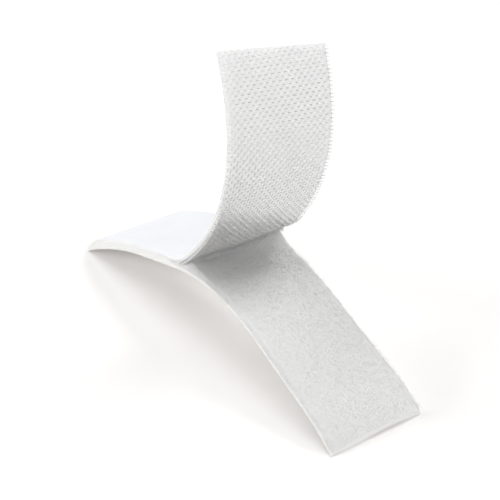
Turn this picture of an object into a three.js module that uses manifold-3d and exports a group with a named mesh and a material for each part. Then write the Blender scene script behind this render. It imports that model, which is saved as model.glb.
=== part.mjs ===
import * as THREE from 'three';
import Module from 'manifold-3d';

// A pair of self-adhesive hook and loop tapes of one length, mated at one end and peeled apart at the
// other. The loop tape stands as a low arch on its two cut ends. The hook tape lies on it, hooks down,
// and its free flap bends up from the peel line. Millimetres, +Z up, +X from the mated end to the foot.

// Width and layers of both tapes
const TAPE_WIDTH = 25;
const LINER_THICKNESS = 0.1;
const ADHESIVE_THICKNESS = 0.15;
const LOOP_BACKING_THICKNESS = 0.35;
const HOOK_BACKING_THICKNESS = 0.24;
const LAYER_GAP = 0.02;

// Loop pile: it stands free on the bare leg, and is pressed down under the hooks
const PILE_FREE_HEIGHT = 0.9;
const PILE_PRESSED_HEIGHT = 0.4;
const PILE_EDGE_MARGIN = 0.4;
const PILE_RISE_START = 1.5;
const PILE_RISE_LENGTH = 4;

// Hooks: bent strands in staggered rows on a thin woven ground
const HOOK_GROUND_THICKNESS = 0.16;
const HOOK_HEIGHT = 0.75;
const HOOK_REACH = 0.55;
const HOOK_STRAND_RADIUS = 0.17;
const HOOK_STEM_SHARE = 0.55;
const HOOK_TIP_SHARE = 0.45;
const HOOK_ROW_PITCH = 3.1;
const HOOK_COLUMN_PITCH = 2.55;
const HOOK_EDGE_MARGIN = 0.9;
const ENGAGEMENT_GAP = 0.03;

// The loop tape's arch, from the mated end: lengths along the tape and turns in degrees, up positive
const RISE_LENGTH = 31;
const RISE_TURN = -17;
const FLAT_LENGTH = 14.3;
const CREST_LENGTH = 32.4;
const CREST_TURN = -39.8;
const LEG_LENGTH = 20.3;
const FOOT_LENGTH = 10.6;
const FOOT_TURN = -16.5;
const FAR_EDGE_SAG = 1.55;

// The hook tape's flap, from the peel line: a tight bend, then four equal stretches that curl back.
// The peel line lies askew, so the near edge is peeled further than the far edge.
const PEEL_AT = 47.1;
const PEEL_SKEW = 8.6;
const BEND_LENGTH = 5;
const BEND_TURN = 29.5;
const CURL_TURNS = [15.9, 23, 30.7, 21.7];

// The flap's lengths between the lines where it bends, and the slit between two lengths
const FIRST_BEND_AT = 2.5;
const LOWER_LENGTH = 19.5;
const MIDDLE_LENGTH = 20;
const SEGMENT_GAP = 0.4;

// Longest facet along the tape, on gentle stretches and in the tight bend
const FACET_LENGTH = 3;
const BEND_FACET_LENGTH = 1;

const HALF_WIDTH = TAPE_WIDTH / 2;
const LOOP_PATH = [
  { length: RISE_LENGTH, turn: RISE_TURN },
  { length: FLAT_LENGTH, turn: 0 },
  { length: CREST_LENGTH, turn: CREST_TURN },
  { length: LEG_LENGTH, turn: 0 },
  { length: FOOT_LENGTH, turn: FOOT_TURN },
];
const TAPE_LENGTH = LOOP_PATH.reduce((sum, stretch) => sum + stretch.length, 0);
const FREE_LENGTH = TAPE_LENGTH - PEEL_AT;
const CURL_LENGTH = (FREE_LENGTH - BEND_LENGTH) / CURL_TURNS.length;
const FLAP_PATH = [{ length: BEND_LENGTH, turn: BEND_TURN }];
for (const turn of CURL_TURNS) {
  FLAP_PATH.push({ length: CURL_LENGTH, turn });
}

// Heights of the layers above the loop tape's back, and below the hook tape's back
const LOOP_ADHESIVE_BASE = LINER_THICKNESS + LAYER_GAP;
const LOOP_BACKING_BASE = LOOP_ADHESIVE_BASE + ADHESIVE_THICKNESS + LAYER_GAP;
const PILE_BASE = LOOP_BACKING_BASE + LOOP_BACKING_THICKNESS + LAYER_GAP;
const HOOK_ADHESIVE_TOP = -LINER_THICKNESS - LAYER_GAP;
const HOOK_BACKING_TOP = HOOK_ADHESIVE_TOP - ADHESIVE_THICKNESS - LAYER_GAP;
const GROUND_TOP = HOOK_BACKING_TOP - HOOK_BACKING_THICKNESS - LAYER_GAP;
const GROUND_FACE = GROUND_TOP - HOOK_GROUND_THICKNESS;
const HOOK_TIP = GROUND_FACE - HOOK_HEIGHT;
const MATED_THICKNESS = PILE_BASE + PILE_PRESSED_HEIGHT + ENGAGEMENT_GAP - HOOK_TIP;

// Place and heading at a length along a plane path of straight and round stretches
function pathAt(stretches, startHeading, length) {
  let x = 0;
  let z = 0;
  let heading = startHeading;
  let left = length;
  for (const [index, stretch] of stretches.entries()) {
    const last = index === stretches.length - 1;
    const step = last ? left : Math.min(left, stretch.length);
    const turn = THREE.MathUtils.degToRad(stretch.turn) * (step / stretch.length);
    const chord = turn === 0 ? step : (2 * step * Math.sin(turn / 2)) / turn;
    x += chord * Math.cos(heading + turn / 2);
    z += chord * Math.sin(heading + turn / 2);
    heading += turn;
    left -= step;
    if (left <= 0) break;
  }
  return { x, z, heading };
}

// Both cut ends of the loop tape stand on the same level
const chordEnd = pathAt(LOOP_PATH, 0, TAPE_LENGTH);
const START_HEADING = -Math.atan2(chordEnd.z, chordEnd.x);

// A point of the loop tape: length along it, place across it and height above its back
function loopPoint(along, across, height) {
  const { x, z, heading } = pathAt(LOOP_PATH, START_HEADING, along);
  const share = THREE.MathUtils.clamp((along - PEEL_AT) / FREE_LENGTH, 0, 1);
  const sag = FAR_EDGE_SAG * Math.sin(Math.PI * share) ** 2 * (across / TAPE_WIDTH + 0.5);
  return new THREE.Vector3(x - height * Math.sin(heading), across, z + height * Math.cos(heading) - sag);
}

// The flap's own directions at the peel line: onward, along the bend axis, and away from the loop tape
const skew = THREE.MathUtils.degToRad(PEEL_SKEW);
const peelHeading = pathAt(LOOP_PATH, START_HEADING, PEEL_AT).heading;
const tapeOnward = new THREE.Vector3(Math.cos(peelHeading), 0, Math.sin(peelHeading));
const tapeAcross = new THREE.Vector3(0, 1, 0);
const flapAway = new THREE.Vector3(-Math.sin(peelHeading), 0, Math.cos(peelHeading));
const flapOnward = tapeOnward.clone().multiplyScalar(Math.cos(skew))
  .addScaledVector(tapeAcross, -Math.sin(skew));
const bendAxis = tapeOnward.clone().multiplyScalar(Math.sin(skew))
  .addScaledVector(tapeAcross, Math.cos(skew));
const peelPoint = loopPoint(PEEL_AT, 0, MATED_THICKNESS);

// Distance past the peel line, square to it
function pastPeel(along, across) {
  return (along - PEEL_AT) * Math.cos(skew) - across * Math.sin(skew);
}

// A point of the flap: past the peel line, along the bend axis and height above its back
function flapPoint(past, axial, height) {
  const { x, z, heading } = pathAt(FLAP_PATH, 0, past);
  return peelPoint.clone()
    .addScaledVector(flapOnward, x - height * Math.sin(heading))
    .addScaledVector(flapAway, z + height * Math.cos(heading))
    .addScaledVector(bendAxis, axial);
}

// A point of the hook tape: on the loop tape up to the peel line, on the flap after it
function hookPoint(along, across, height) {
  const past = pastPeel(along, across);
  if (past <= 0) return loopPoint(along, across, MATED_THICKNESS + height);
  const axial = (along - PEEL_AT) * Math.sin(skew) + across * Math.cos(skew);
  return flapPoint(past, axial, height);
}

// Lines across the tape: square to it, or on the slant of the peel line
function squareRow(along) {
  return { near: along, far: along };
}

function slantRow(past) {
  const middle = PEEL_AT + past / Math.cos(skew);
  const offset = HALF_WIDTH * Math.tan(skew);
  return { near: middle - offset, far: middle + offset };
}

// A line whose stretch before it lies in the tight bend and has short facets
function inBend(row) {
  return { ...row, facetLength: BEND_FACET_LENGTH };
}

// Rows between given lines, with facets no longer than each stretch allows
function fillRows(lines) {
  const rows = [lines[0]];
  for (let i = 1; i < lines.length; i += 1) {
    const from = lines[i - 1];
    const to = lines[i];
    const span = Math.max(to.near - from.near, to.far - from.far);
    const steps = Math.max(1, Math.ceil(span / (to.facetLength ?? FACET_LENGTH)));
    for (let k = 1; k <= steps; k += 1) {
      rows.push({
        near: THREE.MathUtils.lerp(from.near, to.near, k / steps),
        far: THREE.MathUtils.lerp(from.far, to.far, k / steps),
      });
    }
  }
  return rows;
}

// A closed band through rows of four corners: near low, near high, far high, far low. The broad faces
// are both split from the near edge to the far edge, so that twisted layers lie against each other.
function ribbon(pointAt, rows, halfWidth, lowAt, highAt) {
  const positions = [];
  const index = [];
  const corner = (row, across, heightAt) => {
    const share = across / TAPE_WIDTH + 0.5;
    const along = THREE.MathUtils.lerp(row.near, row.far, share);
    positions.push(...pointAt(along, across, heightAt(along, across)).toArray());
  };
  for (const row of rows) {
    corner(row, -halfWidth, lowAt);
    corner(row, -halfWidth, highAt);
    corner(row, halfWidth, highAt);
    corner(row, halfWidth, lowAt);
  }
  for (let i = 0; i < rows.length - 1; i += 1) {
    for (let k = 0; k < 4; k += 1) {
      const a = 4 * i + k;
      const b = 4 * i + ((k + 1) % 4);
      const split = k === 3 ? [a, a + 4, b, b, a + 4, b + 4] : [a, b + 4, b, a, a + 4, b + 4];
      index.push(...split);
    }
  }
  const end = 4 * (rows.length - 1);
  index.push(0, 1, 2, 0, 2, 3, end, end + 2, end + 1, end, end + 3, end + 2);
  return solid(new Float32Array(positions), new Uint32Array(index));
}

function solid(positions, index) {
  const geometry = new THREE.BufferGeometry();
  geometry.setAttribute('position', new THREE.BufferAttribute(positions, 3));
  geometry.setIndex(new THREE.BufferAttribute(index, 1));
  geometry.computeVertexNormals();
  return geometry;
}

// Finishes: each layer has one material colour, roughness and metalness
const FINISHES = {
  liner: { color: 0xe9ebf3, roughness: 0.35, metalness: 0 },
  adhesive: { color: 0xe8e2cf, roughness: 0.3, metalness: 0 },
  backing: { color: 0xf2f2ef, roughness: 0.8, metalness: 0 },
  hooks: { color: 0xf6f6f4, roughness: 0.45, metalness: 0 },
  pile: { color: 0xd9d9d7, roughness: 0.95, metalness: 0 },
};

function addPiece(group, name, geometry, finish) {
  const mesh = new THREE.Mesh(geometry, new THREE.MeshStandardMaterial(FINISHES[finish]));
  mesh.name = name;
  group.add(mesh);
}

// Loop tape: liner, adhesive, backing and pile, each one band over the whole length
const tapePair = new THREE.Group();
const loopTape = new THREE.Group();
tapePair.add(loopTape);

// All its layers share the same rows, so they lie against each other
const level = (height) => () => height;
const loopRows = fillRows([
  squareRow(0),
  squareRow(RISE_LENGTH),
  slantRow(PILE_RISE_START),
  slantRow(PILE_RISE_START + PILE_RISE_LENGTH),
  squareRow(TAPE_LENGTH),
]);
const loopLayer = (base, thickness) =>
  ribbon(loopPoint, loopRows, HALF_WIDTH, level(base), level(base + thickness));

addPiece(loopTape, 'loop_liner', loopLayer(0, LINER_THICKNESS), 'liner');
addPiece(loopTape, 'loop_adhesive', loopLayer(LOOP_ADHESIVE_BASE, ADHESIVE_THICKNESS), 'adhesive');
addPiece(loopTape, 'loop_backing', loopLayer(LOOP_BACKING_BASE, LOOP_BACKING_THICKNESS), 'backing');

const pileTop = (along, across) => {
  const rise = (pastPeel(along, across) - PILE_RISE_START) / PILE_RISE_LENGTH;
  const loose = THREE.MathUtils.clamp(rise, 0, 1);
  return PILE_BASE + THREE.MathUtils.lerp(PILE_PRESSED_HEIGHT, PILE_FREE_HEIGHT, loose);
};
const pileHalfWidth = HALF_WIDTH - PILE_EDGE_MARGIN;
addPiece(
  loopTape,
  'loop_pile',
  ribbon(loopPoint, loopRows, pileHalfWidth, level(PILE_BASE), pileTop),
  'pile',
);

// One hook as a closed three-sided strand: its stem stands on the ground, bends over and ends in a
// free tip that points down. Its own X runs along the tape, Y across it and Z away from the ground.
const wasm = await Module();
wasm.setup();

const HOOK_SIDES = 3;
const HOOK_SINK = HOOK_GROUND_THICKNESS / 2;
const HOOK_KNOTS = [
  { along: 0, height: -HOOK_SINK, turn: 0 },
  { along: 0, height: HOOK_STEM_SHARE * HOOK_HEIGHT, turn: 0 },
  { along: HOOK_REACH / 2, height: HOOK_HEIGHT - HOOK_STRAND_RADIUS, turn: Math.PI / 2 },
  { along: HOOK_REACH, height: HOOK_TIP_SHARE * HOOK_HEIGHT, turn: Math.PI },
];

function hookStrand() {
  const positions = [];
  const index = [];
  for (const knot of HOOK_KNOTS) {
    for (let k = 0; k < HOOK_SIDES; k += 1) {
      const angle = (2 * Math.PI * k) / HOOK_SIDES;
      const outward = HOOK_STRAND_RADIUS * Math.cos(angle);
      const side = HOOK_STRAND_RADIUS * Math.sin(angle);
      const along = knot.along - outward * Math.cos(knot.turn);
      positions.push(along, side, knot.height + outward * Math.sin(knot.turn));
    }
  }
  const tip = HOOK_SIDES * (HOOK_KNOTS.length - 1);
  for (let ring = 0; ring < tip; ring += HOOK_SIDES) {
    for (let k = 0; k < HOOK_SIDES; k += 1) {
      const a = ring + k;
      const b = ring + ((k + 1) % HOOK_SIDES);
      index.push(a, b + HOOK_SIDES, b, a, a + HOOK_SIDES, b + HOOK_SIDES);
    }
  }
  index.push(0, 1, 2, tip, tip + 2, tip + 1);
  return solid(new Float32Array(positions), new Uint32Array(index));
}

// Place of a hook on the ground's face, turned to face along the tape or back
function hookMatrix({ along, across, facing }) {
  const foot = hookPoint(along, across, GROUND_FACE);
  const onward = hookPoint(along + facing, across, GROUND_FACE).sub(foot).normalize();
  const outward = hookPoint(along, across, GROUND_FACE - 1).sub(foot).normalize();
  const sideways = outward.clone().cross(onward).normalize();
  onward.crossVectors(sideways, outward);
  return new THREE.Matrix4().makeBasis(onward, sideways, outward).setPosition(foot);
}

function toManifold(geometry) {
  return new wasm.Manifold(new wasm.Mesh({
    numProp: 3,
    vertProperties: geometry.attributes.position.array,
    triVerts: geometry.index.array,
  }));
}

// The ground of one length with its hooks woven in, as one body
function hookField(ground, places) {
  let field = toManifold(ground);
  for (const place of places) {
    field = field.add(toManifold(hookStrand().applyMatrix4(hookMatrix(place))));
  }
  const mesh = field.getMesh();
  return solid(new Float32Array(mesh.vertProperties), new Uint32Array(mesh.triVerts));
}

// Staggered places of the hooks over the whole hook tape
const hookPlaces = [];
const hookHalfWidth = HALF_WIDTH - HOOK_EDGE_MARGIN;
const columnsAcross = Math.floor((2 * hookHalfWidth) / HOOK_COLUMN_PITCH);
const rowsAlong = Math.floor((TAPE_LENGTH - 2 * HOOK_EDGE_MARGIN) / HOOK_ROW_PITCH);
for (let row = 0; row <= rowsAlong; row += 1) {
  const inset = row % 2;
  for (let column = 0; column <= columnsAcross - inset; column += 1) {
    hookPlaces.push({
      along: HOOK_EDGE_MARGIN + HOOK_ROW_PITCH * row,
      across: HOOK_COLUMN_PITCH * (column + inset / 2 - columnsAcross / 2),
      facing: row % 2 === 0 ? 1 : -1,
    });
  }
}

// A length of the hook tape between two lines: liner, adhesive, backing and hook field
function addHookLength(group, suffix, lines, pivot) {
  const rows = fillRows(lines);
  const band = (low, high) => ribbon(hookPoint, rows, HALF_WIDTH, level(low), level(high));
  const start = lines[0];
  const end = lines[lines.length - 1];
  const room = HOOK_REACH + HOOK_STRAND_RADIUS;
  const places = hookPlaces.filter(({ along, across }) => {
    const share = across / TAPE_WIDTH + 0.5;
    const from = THREE.MathUtils.lerp(start.near, start.far, share);
    const to = THREE.MathUtils.lerp(end.near, end.far, share);
    return along > from + room && along < to - room;
  });
  const layers = [
    ['hook_liner', band(-LINER_THICKNESS, 0), 'liner'],
    ['hook_adhesive', band(HOOK_ADHESIVE_TOP - ADHESIVE_THICKNESS, HOOK_ADHESIVE_TOP), 'adhesive'],
    ['hook_backing', band(HOOK_BACKING_TOP - HOOK_BACKING_THICKNESS, HOOK_BACKING_TOP), 'backing'],
    ['hook_field', hookField(band(GROUND_FACE, GROUND_TOP), places), 'hooks'],
  ];
  for (const [layer, geometry, finish] of layers) {
    addPiece(group, `${layer}_${suffix}`, geometry.translate(-pivot.x, -pivot.y, -pivot.z), finish);
  }
}

// Bend lines lie in the face of the hook tape's ground, which doesn't stretch
function bendLine(past) {
  return flapPoint(past, 0, GROUND_FACE);
}

// Each free length turns about its bend line and carries the next one
function hingedGroup(parent, parentPivot, pivot) {
  const group = new THREE.Group();
  group.position.copy(pivot).sub(parentPivot);
  parent.add(group);
  return group;
}

const secondBendAt = FIRST_BEND_AT + LOWER_LENGTH;
const thirdBendAt = secondBendAt + MIDDLE_LENGTH;
const halfGap = SEGMENT_GAP / 2;
const origin = new THREE.Vector3();
const firstBend = bendLine(FIRST_BEND_AT);
const secondBend = bendLine(secondBendAt);
const thirdBend = bendLine(thirdBendAt);

const hookTape = new THREE.Group();
tapePair.add(hookTape);
const flapLower = hingedGroup(hookTape, origin, firstBend);
const flapMiddle = hingedGroup(flapLower, firstBend, secondBend);
const flapTip = hingedGroup(flapMiddle, secondBend, thirdBend);

addHookLength(hookTape, 'mated', [
  squareRow(0),
  squareRow(RISE_LENGTH),
  slantRow(0),
  inBend(slantRow(FIRST_BEND_AT - halfGap)),
], origin);
addHookLength(flapLower, 'lower', [
  slantRow(FIRST_BEND_AT + halfGap),
  inBend(slantRow(BEND_LENGTH)),
  slantRow(secondBendAt - halfGap),
], firstBend);
addHookLength(flapMiddle, 'middle', [
  slantRow(secondBendAt + halfGap),
  slantRow(thirdBendAt - halfGap),
], secondBend);
addHookLength(flapTip, 'tip', [
  slantRow(thirdBendAt + halfGap),
  squareRow(TAPE_LENGTH),
], thirdBend);

// The origin is at the middle of the outline's box, on the level of the two cut ends
const outline = new THREE.Box3().setFromObject(tapePair, true);
const middle = outline.getCenter(new THREE.Vector3());
tapePair.position.set(-middle.x, -middle.y, -outline.min.z);
tapePair.userData.bendAxis = bendAxis.toArray();
tapePair.userData.bendLines = [firstBend, secondBend, thirdBend]
  .map((pivot) => pivot.clone().add(tapePair.position).toArray());

export default tapePair;
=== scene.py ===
import math

import bpy
import numpy as np
from mathutils import Matrix, Vector


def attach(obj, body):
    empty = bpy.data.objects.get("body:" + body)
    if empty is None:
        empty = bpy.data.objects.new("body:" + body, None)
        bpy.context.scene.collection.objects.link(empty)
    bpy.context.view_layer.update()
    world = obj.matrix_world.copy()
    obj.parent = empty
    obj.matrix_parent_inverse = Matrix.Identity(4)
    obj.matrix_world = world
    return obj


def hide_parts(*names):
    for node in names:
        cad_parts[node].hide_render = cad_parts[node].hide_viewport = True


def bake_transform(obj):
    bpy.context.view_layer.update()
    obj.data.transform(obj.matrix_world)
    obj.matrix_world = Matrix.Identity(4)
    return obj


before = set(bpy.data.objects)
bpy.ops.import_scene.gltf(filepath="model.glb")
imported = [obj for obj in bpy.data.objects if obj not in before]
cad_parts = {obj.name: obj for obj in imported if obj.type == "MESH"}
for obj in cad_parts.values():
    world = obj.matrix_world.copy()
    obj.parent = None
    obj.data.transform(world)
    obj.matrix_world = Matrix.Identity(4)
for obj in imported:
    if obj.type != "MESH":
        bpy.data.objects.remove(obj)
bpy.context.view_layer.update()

# Loop tape release liner: a thin satin film that keeps the sticky back of the loop tape clean.
# It is slit to the tape's width, runs its whole length, and clings to the adhesive above it.
MM = 0.001
TAPE_WIDTH = 25.0
HALF_WIDTH = TAPE_WIDTH / 2
ARCH = ((31.0, -17.0), (14.3, 0.0), (32.4, -39.8), (20.3, 0.0), (10.6, -16.5))
TAPE_LENGTH = sum(length for length, turn in ARCH)
PEEL_AT = 47.1
PEEL_SKEW = math.radians(8.6)
FREE_LENGTH = TAPE_LENGTH - PEEL_AT
FAR_EDGE_SAG = 1.55
ARCH_START = np.array((-50.3534620, -2.7798120, 0.0))
CUT_PINCH = 0.6
CUT_PINCH_LENGTH = 8.0
FOOT_BOW = 0.9
FOOT_BOW_LENGTH = 8.0
FOOT_BOW_LEAN = 1.6
LINER_THICKNESS = 0.1
FILM_PROUD = 0.25
FILM_FLOOR_SHARE = 0.3
EDGE_WAVER_BAND = 1.0
SLIT_WAVES = ((0.6, 0.83, 1.0), (0.4, 2.31, 2.7))
SHARP_EDGE = math.radians(40)
ROW_STEP = 0.7
COLUMNS = 20


def run_at(stretches, start_heading, length):
    """Places and headings at lengths along a plane run of straight and round stretches."""
    left = np.array(length, float)
    x = np.zeros_like(left)
    z = np.zeros_like(left)
    heading = np.full_like(left, start_heading)
    for index, (stretch, turn) in enumerate(stretches):
        last = index == len(stretches) - 1
        step = left if last else np.minimum(left, stretch)
        bend = math.radians(turn) * step / stretch
        chord = step * np.sinc(bend / (2 * np.pi))
        x = x + chord * np.cos(heading + bend / 2)
        z = z + chord * np.sin(heading + bend / 2)
        heading = heading + bend
        left = left - step
    return x, z, heading


end_x, end_z = run_at(ARCH, 0.0, TAPE_LENGTH)[:2]
START_HEADING = -math.atan2(float(end_z), float(end_x))


def smooth_step(share):
    """0 before 0, 1 after 1, and a soft rise between them."""
    share = np.clip(share, 0, 1)
    return share * share * (3 - 2 * share)


def loop_point(along, across, height):
    """Points of the loop tape in millimetres: length along it, place across it, height above its back."""
    x, z, heading = run_at(ARCH, START_HEADING, along)
    share = np.clip((along - PEEL_AT) / FREE_LENGTH, 0, 1)
    sag = FAR_EDGE_SAG * np.sin(np.pi * share) ** 2 * (across / TAPE_WIDTH + 0.5)
    height = height * (1 - CUT_PINCH * (1 - smooth_step(along / CUT_PINCH_LENGTH)))
    bow = FOOT_BOW * smooth_step((along - TAPE_LENGTH) / FOOT_BOW_LENGTH + 1)
    bow = bow * np.sin(np.pi * np.clip(across / TAPE_WIDTH + 0.5, 0, 1) ** FOOT_BOW_LEAN)
    place = (x - height * np.sin(heading), across, z + height * np.cos(heading) - sag + bow)
    return np.stack(place, axis=-1) + ARCH_START


def slanted_rows(middle, slant):
    """Rows across the tape: where each one meets the near edge and the far edge."""
    offset = HALF_WIDTH * math.tan(PEEL_SKEW) * slant
    return middle - offset, middle + offset


def edge_wander(along, amount, phase):
    """The slight waver of a slit edge."""
    return amount * sum(share * np.sin(rate * along + lag * phase) for share, rate, lag in SLIT_WAVES)


def grid_places(rows, half_width, columns, waver=0.0, phase=0.0):
    """Length along the tape and place across it, for each point of a grid of rows."""
    near, far = rows
    across = np.linspace(-1, 1, columns + 1)[None, :] * half_width
    along = near[:, None] + (far - near)[:, None] * (across / TAPE_WIDTH + 0.5)
    edge = np.clip((np.abs(across) - half_width) / EDGE_WAVER_BAND + 1, 0, 1) * np.sign(across)
    across = across + edge * edge_wander(along, waver, phase + np.sign(across))
    return along, across


def band_faces(rows, columns):
    """Faces of a closed band over two grids of points, the low face first."""
    width = columns + 1
    high = rows * width
    i, j = np.meshgrid(np.arange(rows - 1), np.arange(columns), indexing="ij")
    a = (i * width + j).ravel()
    top = np.stack((a, a + width, a + width + 1, a + 1), axis=1) + high
    bottom = np.stack((a, a + 1, a + width + 1, a + width), axis=1)
    n = np.arange(rows - 1) * width
    near = np.stack((n, n + width, n + width + high, n + high), axis=1)
    far = np.stack((n, n + high, n + width + high, n + width), axis=1) + columns
    e = np.arange(columns)
    first = np.stack((e, e + high, e + high + 1, e + 1), axis=1)
    last = np.stack((e, e + 1, e + high + 1, e + high), axis=1) + (rows - 1) * width
    return np.concatenate((top, bottom, near, far, first, last)).tolist()


def add_piece(name, points, faces, material, tape_place):
    """A mesh piece from points in millimetres, with the place on the tape kept for its pattern."""
    mesh = bpy.data.meshes.new(name)
    mesh.from_pydata((points * MM).tolist(), [], faces)
    kept = mesh.attributes.new("tape_place", "FLOAT_VECTOR", "POINT")
    kept.data.foreach_set("vector", tape_place.astype(np.float32).ravel())
    mesh.materials.append(material)
    mesh.shade_smooth()
    mesh.set_sharp_from_angle(angle=SHARP_EDGE)
    mesh.update()
    piece = bpy.data.objects.new(name, mesh)
    bpy.context.scene.collection.objects.link(piece)
    return piece


def add_band(name, point_at, rows, low, high, material, waver=0.0, phase=0.0, half_width=HALF_WIDTH):
    """A closed band of one layer of tape between two heights."""
    along, across = grid_places(rows, half_width, COLUMNS, waver, phase)
    grids = [(along, across, np.broadcast_to(height, along.shape)) for height in (low, high)]
    points = np.concatenate([point_at(*grid).reshape(-1, 3) for grid in grids])
    places = np.concatenate([np.stack(grid, axis=-1).reshape(-1, 3) for grid in grids])
    return add_piece(name, points, band_faces(len(rows[0]), COLUMNS), material, places)


def new_tree(name, kind, inputs, outputs):
    """An empty node group with named sockets, and its input and output nodes."""
    tree = bpy.data.node_groups.new(name, kind)
    for direction, sockets in (("INPUT", inputs), ("OUTPUT", outputs)):
        for label, socket_type, value in sockets:
            made = tree.interface.new_socket(label, in_out=direction, socket_type=socket_type)
            if value is not None:
                made.default_value = value
    return tree, tree.nodes.new("NodeGroupInput"), tree.nodes.new("NodeGroupOutput")


def add_node(tree, kind, settings=None, **sockets):
    """A node with its settings, whose inputs take plain values or links from other sockets."""
    node = tree.nodes.new(kind)
    for key, value in (settings or {}).items():
        setattr(node, key, value)
    for label, value in sockets.items():
        wanted = label.replace("_", " ")
        shown = [s for s in node.inputs if s.enabled]
        if label[1:].isdigit():
            socket = shown[int(label[1:])]
        else:
            socket = next(s for s in shown if s.name == wanted)
        if isinstance(value, bpy.types.NodeSocket):
            tree.links.new(value, socket)
        else:
            socket.default_value = value
    return node


def result(node, label=None):
    """The output of a node that is in use, by name where it has several."""
    shown = [s for s in node.outputs if s.enabled]
    return shown[0] if label is None else next(s for s in shown if s.name == label)


def arithmetic(tree, operation, *values):
    """The result of one step of arithmetic on plain values or links."""
    sockets = {f"_{index}": value for index, value in enumerate(values)}
    return result(add_node(tree, "ShaderNodeMath", {"operation": operation}, **sockets))


mottle, mottle_in, mottle_out = new_tree(
    "mottle",
    "ShaderNodeTree",
    [
        ("Place", "NodeSocketVector", None),
        ("Scale", "NodeSocketFloat", 1.0),
        ("Detail", "NodeSocketFloat", 2.0),
    ],
    [("Amount", "NodeSocketFloat", None)],
)
mottle_noise = add_node(
    mottle,
    "ShaderNodeTexNoise",
    Vector=mottle_in.outputs["Place"],
    Scale=mottle_in.outputs["Scale"],
    Detail=mottle_in.outputs["Detail"],
    Roughness=0.55,
)
mottle_range = add_node(
    mottle, "ShaderNodeMapRange", Value=result(mottle_noise), From_Min=0.3, From_Max=0.7
)
mottle.links.new(result(mottle_range), mottle_out.inputs["Amount"])


def new_material(name, roughness, specular=0.5):
    """A material with its shader, and the place on the tape as pattern coordinates."""
    material = bpy.data.materials.new(name)
    material.use_nodes = True
    tree = material.node_tree
    shader = tree.nodes["Principled BSDF"]
    shader.inputs["Roughness"].default_value = roughness
    shader.inputs["Specular IOR Level"].default_value = specular
    place = add_node(tree, "ShaderNodeAttribute", {"attribute_name": "tape_place"}).outputs["Vector"]
    return material, tree, shader, place


def use_group(tree, group, **sockets):
    """A shared node group placed in a material, with its own values."""
    return add_node(tree, "ShaderNodeGroup", {"node_tree": group}, **sockets)


def mixed_colour(tree, amount, first, second):
    """A colour between two, by an amount that varies over the surface."""
    node = add_node(tree, "ShaderNodeMix", {"data_type": "RGBA"}, Factor=amount)
    colours = [s for s in node.inputs if s.enabled and s.type == "RGBA"]
    colours[0].default_value = (*first, 1)
    colours[1].default_value = (*second, 1)
    return result(node)


def add_bump(tree, shader, height, strength, distance):
    """A bump in metres that shapes the shader's normal."""
    node = add_node(tree, "ShaderNodeBump", Strength=strength, Distance=distance, Height=height)
    tree.links.new(result(node), shader.inputs["Normal"])


def film_material(name, pale, deep):
    """Satin release film: faint haze, uneven gloss and shallow ripples from winding."""
    material, tree, shader, place = new_material(name, roughness=0.45, specular=0.3)
    haze = use_group(tree, mottle, Place=place, Scale=0.09, Detail=2.0)
    tree.links.new(mixed_colour(tree, result(haze), pale, deep), shader.inputs["Base Color"])
    smear = use_group(tree, mottle, Place=place, Scale=0.6, Detail=3.0)
    gloss = add_node(tree, "ShaderNodeMapRange", Value=result(smear), To_Min=0.4, To_Max=0.55)
    tree.links.new(result(gloss), shader.inputs["Roughness"])
    ripple = use_group(tree, mottle, Place=place, Scale=0.16, Detail=1.0)
    add_bump(tree, shader, result(ripple), strength=0.35, distance=0.00012)
    return material


loop_rows = slanted_rows(np.linspace(0, TAPE_LENGTH, int(TAPE_LENGTH / ROW_STEP) + 1), 0.0)
loop_film = film_material("loop_liner_film", (0.915, 0.9, 0.88), (0.885, 0.87, 0.85))


def film_point(along, across, height):
    """Points of the loop liner, whose end stands a little proud of the cut and stops at the floor."""
    point = loop_point(along, across, height)
    point[..., 2] = np.maximum(point[..., 2], FILM_FLOOR_SHARE * height)
    return point


proud_rows = TAPE_LENGTH + FILM_PROUD * np.array((0.5, 1.0))
film_rows = slanted_rows(np.append(loop_rows[0], proud_rows), 0.0)
loop_liner = add_band(
    "loop_liner_film", film_point, film_rows, 0.0, LINER_THICKNESS, loop_film, waver=0.03, phase=0.4
)
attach(loop_liner, "mated_pair")
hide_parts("loop_liner")

# Loop tape adhesive: a thin, slightly yellow layer of soft rubber, coated on the back of the woven tape.
# Only its edge shows, between the film and the cloth.
LAYER_GAP = 0.02
ADHESIVE_THICKNESS = 0.15
ADHESIVE_INSET = 0.06
LOOP_ADHESIVE_BASE = LINER_THICKNESS + LAYER_GAP

adhesive_rubber, adhesive_tree, adhesive_shader, adhesive_place = new_material(
    "adhesive_rubber", roughness=0.3
)
adhesive_blotch = use_group(adhesive_tree, mottle, Place=adhesive_place, Scale=0.9, Detail=3.0)
adhesive_tree.links.new(
    mixed_colour(adhesive_tree, result(adhesive_blotch), (0.95, 0.945, 0.92), (0.92, 0.91, 0.88)),
    adhesive_shader.inputs["Base Color"],
)
add_bump(adhesive_tree, adhesive_shader, result(adhesive_blotch), strength=0.4, distance=0.00004)

loop_adhesive = add_band(
    "loop_adhesive_layer",
    loop_point,
    loop_rows,
    LOOP_ADHESIVE_BASE,
    LOOP_ADHESIVE_BASE + ADHESIVE_THICKNESS,
    adhesive_rubber,
    waver=0.05,
    phase=1.9,
    half_width=HALF_WIDTH - ADHESIVE_INSET,
)
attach(loop_adhesive, "mated_pair")
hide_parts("loop_adhesive")

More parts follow.
